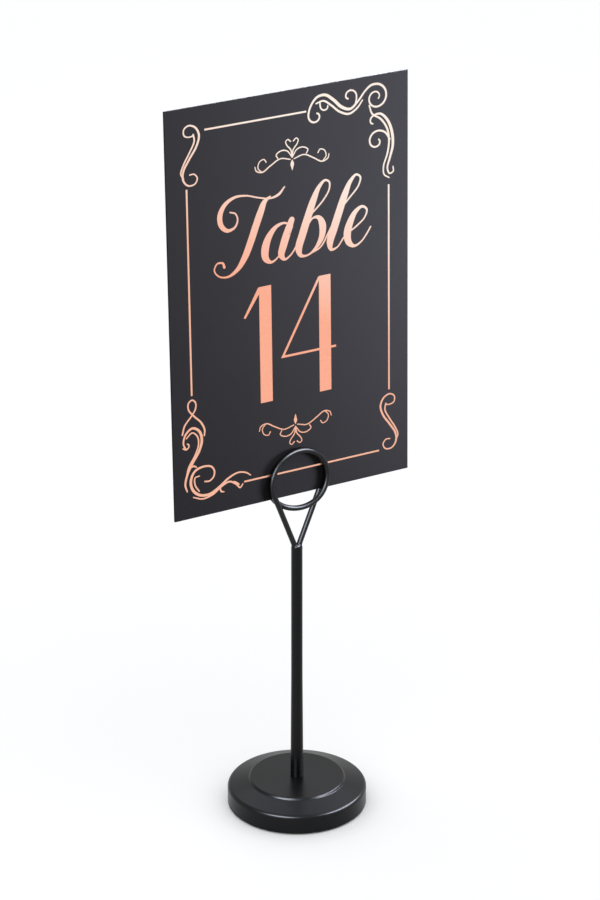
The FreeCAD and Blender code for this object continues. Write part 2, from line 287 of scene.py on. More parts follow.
# Lines of (x, y, z, half width) as poly splines of one curve object.
def lineCurve(name, lines):
    curve = bpy.data.curves.new(name, "CURVE")
    curve.dimensions = "3D"
    for line in lines:
        spline = curve.splines.new("POLY")
        spline.points.add(len(line) - 1)
        for point, (x, y, z, half) in zip(spline.points, line):
            point.co = (x, y, z, 1)
            point.radius = half
    return bpy.data.objects.new(name, curve)


# Runs a curve object through a node group and gives back the plain mesh.
def throughNodes(name, source, group, inputs):
    modifier = source.modifiers.new(name, "NODES")
    modifier.node_group = group
    for item in group.interface.items_tree:
        if item.item_type == "SOCKET" and item.in_out == "INPUT" and item.name in inputs:
            modifier[item.identifier] = inputs[item.name]
    bpy.context.scene.collection.objects.link(source)
    graph = bpy.context.evaluated_depsgraph_get()
    mesh = bpy.data.meshes.new_from_object(source.evaluated_get(graph), depsgraph=graph)
    source.modifiers.remove(modifier)
    bpy.data.objects.remove(source)
    return mesh


def newGroup(name, sockets):
    group = bpy.data.node_groups.new(name, "GeometryNodeTree")
    group.interface.new_socket("Geometry", in_out="INPUT", socket_type="NodeSocketGeometry")
    for label, kind in sockets:
        group.interface.new_socket(label, in_out="INPUT", socket_type=kind)
    group.interface.new_socket("Geometry", in_out="OUTPUT", socket_type="NodeSocketGeometry")
    graph = Graph(group)
    start = group.nodes.new("NodeGroupInput")
    given = {label: Value(graph, start.outputs[label])
             for label in ["Geometry"] + [label for label, kind in sockets]}
    return group, graph, given


def endGroup(group, graph, geometry, material):
    smooth = graph.add("GeometryNodeSetShadeSmooth", None, {"Geometry": geometry})
    plain = graph.add("GeometryNodeRealizeInstances", None, {"Geometry": smooth})
    painted = graph.add("GeometryNodeSetMaterial", None, {"Geometry": plain, "Material": material})
    end = group.nodes.new("NodeGroupOutput")
    graph.put(end.inputs["Geometry"], painted)
    return group


# A round wire along a curve.
def wireGroup():
    group, graph, given = newGroup("roundWire", [
        ("Wire Radius", "NodeSocketFloat"), ("Sides", "NodeSocketInt"),
        ("Material", "NodeSocketMaterial")])
    circle = graph.add("GeometryNodeCurvePrimitiveCircle", None,
                       {"Resolution": given["Sides"], "Radius": given["Wire Radius"]})
    tube = graph.add("GeometryNodeCurveToMesh", None,
                     {"Curve": given["Geometry"], "Profile Curve": circle, "Fill Caps": True})
    return endGroup(group, graph, tube, given["Material"])


# A thin raised line along a flat curve, as wide as the curve's radius says. Each line rises by the
# small height of its own curve, so that crossing lines don't share a face.
def foilGroup():
    group, graph, given = newGroup("foilLine", [
        ("Foil Height", "NodeSocketFloat"), ("Sunk", "NodeSocketFloat"),
        ("Material", "NodeSocketMaterial")])

    def parts():
        position = graph.add("GeometryNodeInputPosition")
        return [graph.add("ShaderNodeSeparateXYZ", None, {"Vector": position}, out=k)
                for k in range(3)]

    flat = graph.add("GeometryNodeSetCurveNormal", dict(mode="Z_UP"), {"Curve": given["Geometry"]})
    kept = graph.add("GeometryNodeStoreNamedAttribute", dict(data_type="FLOAT", domain="POINT"),
                     {"Geometry": flat, "Name": "lift", "Value": parts()[2]})
    circle = graph.add("GeometryNodeCurvePrimitiveCircle", None,
                       {"Resolution": foil["sides"], "Radius": 1.0})
    band = graph.add("GeometryNodeCurveToMesh", None,
                     {"Curve": kept, "Profile Curve": circle, "Fill Caps": True,
                      "Scale": graph.add("GeometryNodeInputRadius")})
    lift = graph.add("GeometryNodeInputNamedAttribute", dict(data_type="FLOAT"), {"Name": "lift"})
    x, y, z = parts()
    top = graph.add("ShaderNodeMath", dict(operation="MINIMUM"),
                    {0: z - lift, 1: given["Foil Height"]})
    both = graph.add("ShaderNodeMath", dict(operation="MAXIMUM"),
                     {0: top, 1: given["Sunk"] * -1.0})
    place = graph.add("ShaderNodeCombineXYZ", None, {"X": x, "Y": y, "Z": both + lift})
    pressed = graph.add("GeometryNodeSetPosition", None, {"Geometry": band, "Position": place})
    bare = graph.add("GeometryNodeRemoveAttribute", None, {"Geometry": pressed, "Name": "lift"})
    return endGroup(group, graph, bare, given["Material"])


# foil artwork: strokes as control points (across, up, width) in millimetres on the card,
# across from the card's centre line and up from its lower edge

curlSpacing = 38  # degrees between a curl's points


# Points of a spiral about a middle, from the first radius to the second and the first angle
# to the second.
def curl(across, up, first, last, start, end, firstWidth=0.9, lastWidth=1.3):
    steps = max(3, round(abs(end - start) / curlSpacing))
    points = []
    for i in range(steps + 1):
        t = i / steps
        angle = math.radians(start + (end - start) * t)
        radius = first + (last - first) * t
        width = firstWidth + (lastWidth - firstWidth) * t
        points.append((across + radius * math.cos(angle), up + radius * math.sin(angle), width))
    return points


# A smooth line through control points, with round ends.
def smoothLine(points, step=0.35):
    rows = [Vector(p) for p in points]
    rows = [2 * rows[0] - rows[1]] + rows + [2 * rows[-1] - rows[-2]]
    line = []
    for a, b, c, d in zip(rows, rows[1:], rows[2:], rows[3:]):
        t1 = math.dist(a[:2], b[:2]) ** 0.5
        t2 = t1 + math.dist(b[:2], c[:2]) ** 0.5
        t3 = t2 + math.dist(c[:2], d[:2]) ** 0.5
        count = max(2, round(math.dist(b[:2], c[:2]) / step))
        for i in range(count):
            t = t1 + (t2 - t1) * i / count
            ab = a * ((t1 - t) / t1) + b * (t / t1)
            bc = b * ((t2 - t) / (t2 - t1)) + c * ((t - t1) / (t2 - t1))
            cd = c * ((t3 - t) / (t3 - t2)) + d * ((t - t2) / (t3 - t2))
            abc = ab * ((t2 - t) / t2) + bc * (t / t2)
            bcd = bc * ((t3 - t) / (t3 - t1)) + cd * ((t - t1) / (t3 - t1))
            line.append(abc * ((t2 - t) / (t2 - t1)) + bcd * ((t - t1) / (t2 - t1)))
    line.append(rows[-2])
    return roundEnd(roundEnd(line)[::-1])[::-1]


# Carries a line on past its last point in a round end.
def roundEnd(line):
    last = line[-1]
    ahead = Vector((last[0] - line[-2][0], last[1] - line[-2][1], 0)).normalized() * (last[2] / 2)
    tip = []
    for angle in (math.radians(30), math.radians(60), math.radians(82)):
        point = last + ahead * math.sin(angle)
        tip.append(Vector((point[0], point[1], last[2] * math.cos(angle))))
    return line + tip


def mirrored(strokes, centre):
    return [[(2 * centre - u, v, w) for u, v, w in stroke] for stroke in strokes]


def flipped(strokes, centre):
    return [[(u, 2 * centre - v, w) for u, v, w in stroke] for stroke in strokes]


def shifted(strokes, across, up):
    return [[(u + across, v + up, w) for u, v, w in stroke] for stroke in strokes]


wordStrokes = [
    # T: swept flag, then the stem with its foot curl
    [(-27.6, 130.8, 0.8), (-25.2, 129.8, 0.8), (-24.2, 127.0, 0.9), (-25.6, 124.0, 1.2),
     (-29.0, 123.2, 1.9), (-31.8, 125.8, 2.6), (-32.3, 130.2, 2.8), (-30.0, 134.4, 2.2),
     (-25.4, 136.8, 1.4), (-20.0, 136.6, 0.9), (-14.4, 134.8, 0.8), (-9.0, 133.6, 0.9),
     (-5.0, 134.6, 1.4), (-2.2, 137.4, 0.7)],
    [(-9.0, 134.4, 0.8), (-11.6, 132.6, 2.6), (-13.4, 128.8, 3.7), (-15.8, 123.0, 3.9),
     (-18.4, 116.4, 3.9), (-21.2, 110.4, 3.5), (-24.6, 105.8, 2.3), (-29.0, 103.4, 1.2),
     (-33.2, 104.2, 0.8), (-35.4, 107.2, 0.8), (-34.0, 109.9, 0.9), (-31.4, 109.6, 1.1),
     (-30.8, 107.8, 1.4)],
    # a: bowl, then stem
    [(0.6, 119.6, 0.9), (-2.2, 121.8, 1.1), (-6.2, 121.0, 2.0), (-9.8, 117.2, 3.5),
     (-11.7, 112.0, 4.3), (-11.4, 108.0, 3.4), (-9.0, 106.0, 1.5), (-6.2, 107.2, 0.9),
     (-3.0, 111.2, 0.9), (-0.4, 116.0, 0.9), (1.2, 119.8, 0.9)],
    [(0.9, 122.6, 3.2), (-1.0, 118.0, 4.1), (-3.2, 112.0, 4.2), (-4.1, 108.4, 3.5),
     (-2.6, 106.1, 1.5), (0.2, 107.4, 0.9), (3.4, 111.6, 0.9), (7.4, 118.4, 0.9),
     (10.6, 123.6, 0.9)],
    # b: loop, stem and bowl
    [(7.4, 121.4, 0.9), (11.6, 124.6, 0.9), (16.0, 128.6, 0.9), (18.7, 132.6, 0.9),
     (18.8, 135.8, 1.0), (16.8, 136.9, 1.2), (14.0, 134.6, 2.2), (11.2, 129.2, 3.7),
     (8.6, 122.6, 4.2), (6.0, 115.6, 4.3), (4.1, 109.6, 3.9), (5.0, 106.4, 2.0),
     (8.2, 105.9, 1.0), (12.0, 108.2, 1.7), (15.0, 112.8, 3.2), (15.4, 118.0, 3.8),
     (13.6, 121.4, 2.2), (11.0, 121.6, 1.0), (8.6, 119.2, 0.9)],
    # l
    [(9.6, 106.4, 0.9), (14.4, 108.4, 0.9), (18.6, 114.6, 0.9), (23.0, 122.0, 0.9),
     (28.0, 127.0, 0.9), (32.6, 131.8, 0.9), (33.6, 135.4, 1.0), (31.6, 136.8, 1.2),
     (28.8, 134.4, 2.2), (26.1, 129.0, 3.7), (23.5, 122.4, 4.2), (20.9, 115.4, 4.3),
     (18.9, 109.4, 3.7), (19.6, 106.3, 1.7), (22.4, 106.9, 0.9), (25.6, 110.6, 0.9),
     (28.6, 112.8, 0.9)],
    # e
    [(27.2, 112.0, 0.9), (31.6, 114.4, 0.9), (35.6, 117.6, 0.9), (36.6, 120.8, 1.1),
     (34.4, 122.5, 1.4), (31.2, 120.8, 2.5), (28.6, 116.6, 3.8), (27.2, 111.8, 4.2),
     (28.0, 107.8, 3.2), (30.6, 105.9, 1.5), (33.8, 107.2, 0.9), (36.4, 110.0, 0.9),
     (38.4, 112.9, 0.9)],
]

wingStrokes = [
    [(0.6, 148.6, 0.9), (-4.0, 149.6, 1.0), (-8.6, 147.4, 1.1), (-12.4, 145.3, 1.1),
     (-15.2, 146.2, 1.0), (-15.8, 148.0, 0.8)],
    [(-12.6, 145.2, 0.9), (-14.4, 147.4, 0.9), (-13.6, 149.9, 0.9), (-11.6, 150.6, 0.9),
     (-10.6, 149.3, 1.0)],
    [(1.2, 149.8, 0.9), (-0.8, 152.4, 1.0), (-3.6, 152.9, 1.0), (-5.9, 151.5, 1.0),
     (-5.2, 150.0, 1.0)],
    [(1.5, 149.4, 1.2), (0.9, 152.6, 1.1), (-0.9, 154.8, 1.0), (-1.4, 156.4, 0.9),
     (-0.4, 157.2, 0.9), (0.8, 156.2, 1.1)],
]
dropStroke = [(1.5, 148.3, 0.4), (1.5, 147.5, 1.9), (1.5, 146.5, 3.0), (1.5, 145.2, 1.9),
              (1.5, 143.9, 0.4)]
flourishCentre = 1.5  # the drop hangs on it, and the wings are mirrored about it
flourish = wingStrokes + mirrored(wingStrokes, flourishCentre) + [dropStroke]

smallScroll = [
    [(-43.4, 166.0, 0.9), (-45.4, 165.6, 0.9), (-47.6, 166.4, 1.0), (-47.8, 169.0, 1.0),
     (-45.6, 170.4, 1.1), (-42.6, 169.2, 1.3), (-41.0, 165.8, 1.4), (-42.2, 161.4, 1.4),
     (-45.6, 156.4, 1.4), (-48.4, 151.8, 1.4), (-48.6, 148.0, 1.3), (-46.4, 145.4, 1.1),
     (-43.4, 145.6, 1.0), (-42.2, 147.9, 1.0), (-43.6, 149.8, 0.9), (-45.6, 149.8, 0.9)],
    [(-43.6, 166.4, 1.1), (-43.2, 163.6, 1.1), (-45.4, 159.2, 1.1), (-48.2, 154.6, 1.1),
     (-49.6, 150.8, 1.0), (-48.4, 148.6, 0.9)],
]

largeScroll = [
    # hook at the left, wave, spiral at the corner
    curl(12.7, 165.0, 1.2, 3.5, 60, -195, 1.1, 1.3) +
    [(10.6, 169.8, 1.4), (13.4, 172.8, 1.6), (17.2, 173.2, 1.8), (21.0, 170.6, 2.0),
     (25.0, 166.8, 2.0), (29.0, 165.4, 1.7), (32.6, 168.0, 1.4), (36.2, 172.0, 1.3)] +
    curl(41.2, 168.4, 5.9, 1.3, 110, -390, 1.5, 0.9),
    [(13.0, 170.2, 1.0), (16.4, 170.8, 1.2), (20.0, 168.4, 1.3), (24.0, 165.0, 1.4),
     (28.4, 163.4, 1.4), (32.2, 165.2, 1.2), (34.8, 168.2, 0.9)],
    curl(17.4, 168.6, 1.0, 2.6, -10, -190, 1.0, 1.1) + [(14.8, 170.8, 1.0)],
    curl(28.6, 170.7, 1.1, 3.6, 230, -20, 1.2, 1.1) + [(31.3, 166.9, 0.9)],
    # downwards
    curl(40.3, 158.0, 1.0, 2.9, -130, -270, 1.0, 1.2) +
    [(43.4, 161.0, 1.5), (46.8, 157.6, 1.8), (48.8, 152.4, 2.0), (49.2, 146.6, 1.8),
     (47.8, 141.4, 1.5), (46.6, 137.2, 1.2), (47.6, 134.6, 1.1), (49.4, 135.2, 1.0),
     (49.3, 137.3, 0.9)],
    [(38.0, 165.4, 1.0), (39.4, 161.6, 1.2), (43.4, 158.8, 1.3), (46.4, 154.4, 1.4),
     (47.4, 149.0, 1.4), (46.6, 143.4, 1.3), (44.8, 138.4, 1.1), (45.0, 134.6, 1.0),
     (47.4, 132.8, 0.9)],
    curl(41.5, 149.6, 1.1, 4.4, 30, -280, 1.1, 1.3) + [(45.4, 152.8, 1.3), (47.8, 149.4, 1.2)],
]

longScroll = [
    # loop with two spreading legs
    [(-52.0, 38.4, 1.2), (-50.8, 42.2, 1.2), (-47.8, 45.6, 1.1), (-45.6, 48.8, 1.1),
     (-45.6, 51.6, 1.1), (-47.2, 52.9, 1.1), (-48.9, 51.6, 1.1), (-48.8, 48.8, 1.1),
     (-46.4, 45.6, 1.2), (-43.2, 42.2, 1.3), (-41.6, 38.6, 1.3), (-41.8, 36.0, 1.0)],
    # arch, long S and foot
    [(-50.4, 31.4, 1.0), (-51.6, 34.2, 1.2), (-50.6, 38.0, 1.4), (-47.4, 40.4, 1.6),
     (-44.2, 38.6, 1.8), (-43.0, 34.4, 1.9), (-44.4, 29.6, 1.8), (-47.6, 24.8, 1.7),
     (-50.2, 20.0, 1.6), (-51.2, 15.6, 1.4), (-50.4, 12.6, 1.0)],
    [(-50.2, 36.4, 0.9), (-47.4, 38.4, 1.0), (-45.0, 36.2, 1.1), (-44.6, 32.6, 1.1),
     (-46.2, 28.4, 1.1), (-49.4, 23.4, 1.0), (-50.6, 19.6, 0.9)],
    curl(-50.2, 33.2, 0.8, 1.9, 60, -150, 1.0, 1.0),
    # C scroll running out to the right
    curl(-41.0, 18.2, 3.0, 3.9, -110, 60, 1.1, 1.3) +
    [(-43.2, 22.2, 1.5), (-46.8, 20.8, 1.7), (-48.6, 17.0, 1.9), (-47.8, 12.8, 1.9),
     (-44.6, 9.8, 1.9), (-40.0, 9.2, 1.9), (-35.4, 11.4, 1.7), (-31.0, 14.4, 1.5),
     (-26.4, 16.0, 1.2), (-22.6, 15.2, 1.1), (-20.4, 13.6, 0.8)],
    [(-44.6, 18.4, 0.9), (-46.6, 18.0, 1.0), (-46.6, 14.6, 1.1), (-44.8, 11.6, 1.0)],
    [(-47.6, 9.4, 0.9), (-43.2, 7.8, 1.1), (-38.4, 8.8, 1.3), (-34.4, 11.4, 1.3),
     (-30.6, 12.8, 1.3), (-27.6, 11.2, 1.2), (-25.4, 9.0, 1.1), (-24.2, 10.4, 0.9)],
    [(-28.4, 12.4, 0.9), (-27.4, 11.8, 1.2), (-26.0, 10.6, 1.0)],
    [(-35.0, 11.2, 1.0), (-34.4, 9.2, 1.2), (-33.2, 8.8, 0.8)],
    [(-48.4, 23.0, 0.8), (-47.0, 23.4, 1.3), (-45.8, 22.6, 0.8)],
]

# flat plates of the two numerals, as outlines
numberPlates = [
    [(-14.9, 44.8), (-9.2, 44.8), (-9.2, 96.2), (-14.9, 96.2)],
    [(-14.9, 96.2), (-15.4, 95.9), (-22.3, 84.0), (-21.4, 83.6), (-14.7, 93.5)],
    [(13.4, 44.2), (19.0, 44.2), (19.0, 95.8), (13.4, 95.8)],
    [(13.4, 95.7), (12.9, 95.3), (-5.0, 62.9), (-3.8, 62.9), (13.5, 94.0)],
    [(-5.0, 62.9), (21.4, 62.9), (21.4, 63.9), (-4.4, 63.9)],
]


# Direction from the object towards a place, azimuth 0 in front and positive to the right.
def towards(azimuth, elevation):
    a, e = math.radians(azimuth), math.radians(elevation)
    return Vector((math.sin(a) * math.cos(e), -math.cos(a) * math.cos(e), math.sin(e)))


finishes = dict(
    coverBlack=satinBlack("coverBlack", shade=0.0006, roughness=0.30, grain=2.4 * mm,
                          relief=0.0002 * mm, gloss=0.15),
    stemBlack=satinBlack("stemBlack", shade=0.0007, roughness=0.28, grain=2.0 * mm,
                         relief=0.0003 * mm, gloss=0.15),
    wireBlack=satinBlack("wireBlack", shade=0.0004, roughness=0.32, grain=1.6 * mm,
                         relief=0.0001 * mm, gloss=0.20),
    card=charcoalCard(),
    foil=roseFoil("roseFoil", *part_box("number_card"), deep=(0.93, 0.39, 0.255, 1),
                  bright=(0.99, 0.465, 0.32, 1)),
    paleFoil=roseFoil("paleFoil", *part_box("number_card"), deep=(0.88, 0.44, 0.30, 1),
                      bright=(0.96, 0.54, 0.39, 1)),
    iron=castIron(),
    brass=turnedBrass(),
    foam=foamBlack())
print("finishes made:", len(finishes))

# base cover: pressed steel, heights from the table
baseCover = dict(radius=30.5, rimHeight=0.5, edgeHeight=8.86, edgeRound=1.9, shoulderRadius=21.3,
                 shoulderHeight=11.66, footRound=0.5, discRadius=20.55, discRound=0.9,
                 holeRadius=2.2, sheet=0.8, shoulderWall=0.6, lipRound=0.25, innerRound=0.2)
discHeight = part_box("base_cover")[1].z / mm


def makeBaseCover(s):
    inner = s["radius"] - s["sheet"]
    wall = s["shoulderWall"]
    outline = roundedOutline([
        (s["radius"], s["rimHeight"], s["lipRound"]),
        (s["radius"], s["edgeHeight"], s["edgeRound"]),
        (s["shoulderRadius"], s["shoulderHeight"], s["footRound"]),
        (s["discRadius"], discHeight, s["discRound"]),
        (s["holeRadius"], discHeight, 0),
        (s["holeRadius"], discHeight - s["sheet"], 0),
        (s["discRadius"] - wall, discHeight - s["sheet"], s["innerRound"]),
        (s["shoulderRadius"] - s["sheet"], s["shoulderHeight"] - wall, s["innerRound"]),
        (inner, s["edgeHeight"] - wall, s["edgeRound"] - s["sheet"]),
        (inner, s["rimHeight"], s["lipRound"])])
    newPiece("baseCover", turned("baseCover", outline), "base",
             finishes["coverBlack"], ["base_cover"])


makeBaseCover(baseCover)

# foam pad under the weight
basePad = dict(radius=29.0, thickness=1.9, edgeRound=0.35)


def makeBasePad(s):
    outline = roundedOutline([(0, 0, 0), (s["radius"], 0, s["edgeRound"]),
                              (s["radius"], s["thickness"], s["edgeRound"]),
                              (0, s["thickness"], 0)])
    pad = newPiece("basePad", turned("basePad", outline), "base", finishes["foam"],
                   ["base_pad"])


makeBasePad(basePad)
for nodeName, finishName in (("base_weight", "iron"), ("weight_insert", "brass")):
    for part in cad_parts[nodeName].material_slots:
        part.material = finishes[finishName]
print("base made")

# stem: turned rod with its threaded spigot, heights from the table
stemRod = dict(footRadius=2.86, waistRadius=2.5, waistHeight=62.0, topRadius=2.45, topRound=0.25,
               footRound=0.1, spigotRadius=2.0, spigotEnd=4.0, spigotChamfer=0.5,
               reliefRadius=1.7, reliefLength=1.0, sides=96)
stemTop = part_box("stem_rod")[1].z / mm


def makeStemRod(s):
    relief = discHeight - s["reliefLength"]
    outline = roundedOutline([
        (0, s["spigotEnd"], 0),
        (s["spigotRadius"] - s["spigotChamfer"], s["spigotEnd"], 0),
        (s["spigotRadius"], s["spigotEnd"] + s["spigotChamfer"], 0),
        (s["spigotRadius"], relief, 0),
        (s["reliefRadius"], relief, 0),
        (s["reliefRadius"], discHeight, 0),
        (s["footRadius"], discHeight, s["footRound"]),
        (s["waistRadius"], s["waistHeight"], 0),
        (s["topRadius"], stemTop, s["topRound"]),
        (0, stemTop, 0)])
    newPiece("stemRod", turned("stemRod", outline, s["sides"]), "stem",
             finishes["stemBlack"], ["stem_rod"])


makeStemRod(stemRod)

# clip: one wire from the left foot round both turns to the right foot. Its own frame has its
# origin at the stem's top and leans back with the card.
clipWire = dict(wireRadius=1.2, legSpacing=1.25, forkHeight=1.0, forkRadius=4.0, ringRadius=13.4,
                ringHeight=31.9, turnSpacing=3.4, crossStart=36.0, easeLength=7.0, step=0.5,
                footDepth=0.05, sides=28)
clipLean = 1.33
clipFrame = (Matrix.Translation((0, 0, stemTop)) @
             Matrix.Rotation(-math.radians(clipLean), 4, "X"))


# Goes from 0 to 1 between start and end, with soft ends.
def smoothStep(travel, start, end):
    t = min(max((travel - start) / (end - start), 0.0), 1.0)
    return t * t * (3 - 2 * t)


# The corner rounded by an arc, as points from one run to the other.
def bent(before, corner, after, radius, steps=8):
    inward = (before - corner).normalized()
    outward = (after - corner).normalized()
    half = inward.angle(outward) / 2
    centre = corner + (inward + outward).normalized() * (radius / math.sin(half))
    start = corner + inward * radius / math.tan(half) - centre
    end = corner + outward * radius / math.tan(half) - centre
    return [centre + start.normalized().slerp(end.normalized(), k / steps) * radius
            for k in range(steps + 1)]


# The wire's centre line in the clip's own frame: front leg, one turn and the rest behind the card,
# crossing to the back along the bottom, then the back leg.
def clipRoute(s):
    rise = s["ringHeight"] - s["forkHeight"]
    reach = math.hypot(rise, s["legSpacing"])
    angle = math.asin(s["ringRadius"] / reach) - math.atan2(s["legSpacing"], rise)
    leg = math.sqrt(reach ** 2 - s["ringRadius"] ** 2)
    ramp = leg - s["easeLength"] / 2
    crossFrom = math.pi + angle + math.radians(s["crossStart"])
    crossTo = crossFrom + math.pi - 2 * math.radians(s["crossStart"])
    total = leg + (3 * math.pi + 2 * angle) * s["ringRadius"]
    first = leg - s["easeLength"]
    count = round((total - first) / s["step"])
    ring = []
    for i in range(count + 1):
        travel = first + (total - first) * i / count
        left = max(leg - travel, 0)
        forward = 1 - left ** 2 / (2 * s["easeLength"] * ramp)
        around = math.pi + angle - max(travel - leg, 0) / s["ringRadius"]
        forward -= smoothStep(math.pi + angle - around, crossFrom, crossTo)
        ring.append(Vector((
            s["ringRadius"] * math.cos(around) + left * math.sin(angle),
            -s["turnSpacing"] * forward,
            s["ringHeight"] + s["ringRadius"] * math.sin(around) - left * math.cos(angle))))
    corners = [Vector((side * s["legSpacing"], 0, s["forkHeight"])) for side in (-1, 1)]
    feet = [Vector((corner.x, 0, -s["footDepth"])) for corner in corners]
    far = Vector((0, 0, 3 * s["forkRadius"]))
    return ([feet[0]] + bent(corners[0] - far, corners[0], ring[0], s["forkRadius"]) + ring +
            bent(ring[-1], corners[1], corners[1] - far, s["forkRadius"]) + [feet[1]])


def makeClipWire(s):
    route = [clipFrame @ point for point in clipRoute(s)]
    line = [(*(point * mm), 1.0) for point in route]
    mesh = throughNodes("clipWire", lineCurve("clipRoute", [line]), wireGroup(), {
        "Wire Radius": s["wireRadius"] * mm, "Sides": s["sides"],
        "Material": finishes["wireBlack"]})
    newPiece("clipWire", mesh, "stem", finishes["wireBlack"], ["clip_wire"])


makeClipWire(clipWire)

# braze at the fork: a dome run together with the wire's feet
brazeBead = dict(radius=2.05, height=1.35, sunk=0.25, domeSteps=12, domeSides=64, feet=3.2,
                 footPoints=40, footSides=40, voxel=0.11, smoothing=8)


def makeBrazeBead(s):
    outline = [(0, stemTop - s["sunk"]), (s["radius"], stemTop - s["sunk"])]
    for k in range(s["domeSteps"]):
        t = math.pi / 2 * k / s["domeSteps"]
        outline.append((s["radius"] * math.cos(t), stemTop + s["height"] * math.sin(t)))
    outline.append((0, stemTop + s["height"]))
    feet = []
    route = clipRoute(dict(clipWire, footDepth=s["sunk"]))
    for half in (route[:s["footPoints"]], route[::-1][:s["footPoints"]]):
        foot = [point for point in half if point.z < s["feet"]]
        leg = half[len(foot)] - foot[-1]
        foot.append(foot[-1] + leg.normalized() * (s["feet"] - foot[-1].z))
        feet.append([(*(clipFrame @ point * mm), 1.0) for point in foot])
    wires = throughNodes("feet", lineCurve("feetLines", feet), wireGroup(), {
        "Wire Radius": clipWire["wireRadius"] * mm, "Sides": s["footSides"],
        "Material": finishes["wireBlack"]})
    shape = bmesh.new()
    shape.from_mesh(wires)
    shape.from_mesh(turned("dome", outline, s["domeSides"]))
    lump = bpy.data.objects.new("lump", meshFrom("lump", shape))
    bpy.context.scene.collection.objects.link(lump)
    remesh = lump.modifiers.new("voxels", "REMESH")
    remesh.mode = "VOXEL"
    remesh.voxel_size = s["voxel"] * mm
    smooth = lump.modifiers.new("smooth", "SMOOTH")
    smooth.iterations = s["smoothing"]
    graph = bpy.context.evaluated_depsgraph_get()
    mesh = bpy.data.meshes.new_from_object(lump.evaluated_get(graph), depsgraph=graph)
    bpy.data.objects.remove(lump)
    mesh.polygons.foreach_set("use_smooth", [True] * len(mesh.polygons))
    newPiece("brazeBead", mesh, "stem", finishes["wireBlack"], ["braze_bead"])


makeBrazeBead(brazeBead)
print("stem and clip made")

# card: offset from the stem, lower edge above the stem's top; faces larger than flatFace are
# shaded flat
numberCard = dict(width=113.0, height=177.8, thickness=0.9, offset=-2.55, lowerEdge=25.3,
                  edgeRound=0.1, edgeSteps=3, flatFace=100.0)
cardMiddle = -clipWire["turnSpacing"] / 2


def makeNumberCard(s):
    shape = bmesh.new()
    bmesh.ops.create_cube(shape, size=1)
    bmesh.ops.scale(shape, vec=(s["width"], s["thickness"], s["height"]), verts=shape.verts)
    bmesh.ops.bevel(shape, geom=shape.edges[:], offset=s["edgeRound"], segments=s["edgeSteps"],
                    profile=0.5, affect="EDGES")
    place = clipFrame @ Matrix.Translation((s["offset"], cardMiddle,
                                            s["lowerEdge"] + s["height"] / 2))
    bmesh.ops.transform(shape, matrix=Matrix.Scale(mm, 4) @ place, verts=shape.verts)
    mesh = meshFrom("numberCard", shape)
    for face in mesh.polygons:
        face.use_smooth = face.area < s["flatFace"] * mm ** 2
    newPiece("numberCard", mesh, "card", finishes["card"], ["number_card"])


makeNumberCard(numberCard)

# foil: each stroke lies overlapStep above the one before and climbs a little along its length,
# so that strokes may cross; the numerals' plates have a narrow sloping rim
foil = dict(thickness=0.03, sunk=0.01, sides=16, overlapStep=0.003, climb=0.00003,
            rimWidth=0.06, rimDrop=0.01, lineSharp=8, plateSharp=5)
# from the artwork's own frame, across, up and outwards from the card's face, in millimetres
artworkFrame = clipFrame @ Matrix((
    (1, 0, 0, numberCard["offset"]),
    (0, 0, -1, cardMiddle - numberCard["thickness"] / 2),
    (0, 1, 0, numberCard["lowerEdge"]),
    (0, 0, 0, 1)))
ruleLines = dict(width=0.8, side=47.2, low=11.2, high=167.6, highEnds=(-38.5, 8.3),
                 lowEnds=(-23.5, 42.2), leftEnds=(54.8, 143.9), rightEnds=(38.3, 129.9))


def makeFoil(name, lines, finish, standsFor=()):
    rows = [[(u, v, i * foil["overlapStep"] + k * foil["climb"], w / 2)
             for k, (u, v, w) in enumerate(line)] for i, line in enumerate(lines)]
    mesh = throughNodes(name, lineCurve(name + "Lines", rows), foilLine, {
        "Foil Height": foil["thickness"], "Sunk": foil["sunk"], "Material": finish})
    mesh.transform(Matrix.Scale(mm, 4) @ artworkFrame)
    mesh.set_sharp_from_angle(angle=math.radians(foil["lineSharp"]))
    newPiece(name, mesh, "card", finish, standsFor)


def makeRules(s):
    ends = [((s["highEnds"][0], s["high"]), (s["highEnds"][1], s["high"])),
            ((s["lowEnds"][0], s["low"]), (s["lowEnds"][1], s["low"])),
            ((-s["side"], s["leftEnds"][0]), (-s["side"], s["leftEnds"][1])),
            ((s["side"], s["rightEnds"][0]), (s["side"], s["rightEnds"][1]))]
    makeFoil("foilRules", [[(*a, s["width"]), (*b, s["width"])] for a, b in ends],
             finishes["paleFoil"], ["foil_rules"])


def makeNumber(plates):
    shape = bmesh.new()
    for i, outline in enumerate(plates):
        top = foil["thickness"] + i * foil["overlapStep"]
        lower = [shape.verts.new((u, v, -foil["sunk"])) for u, v in outline]
        upper = [shape.verts.new((u, v, top - foil["rimDrop"])) for u, v in outline]
        shape.faces.new(lower[::-1])
        lid = shape.faces.new(upper)
        for k in range(len(outline)):
            n = (k + 1) % len(outline)
            shape.faces.new((lower[k], lower[n], upper[n], upper[k]))
        shape.normal_update()
        bmesh.ops.inset_region(shape, faces=[lid], thickness=foil["rimWidth"],
                               depth=foil["rimDrop"])
    bmesh.ops.recalc_face_normals(shape, faces=shape.faces)
    bmesh.ops.transform(shape, matrix=Matrix.Scale(mm, 4) @ artworkFrame, verts=shape.verts)
    mesh = meshFrom("foilNumber", shape, foil["plateSharp"])
    newPiece("foilNumber", mesh, "card", finishes["foil"])


foilLine = foilGroup()
makeRules(ruleLines)
flourishMiddle = 90.2  # height about which the upper flourish is flipped to make the lower one
scrollShift = (2.0, -134.2)  # moves the mirrored small scroll to the lower right corner
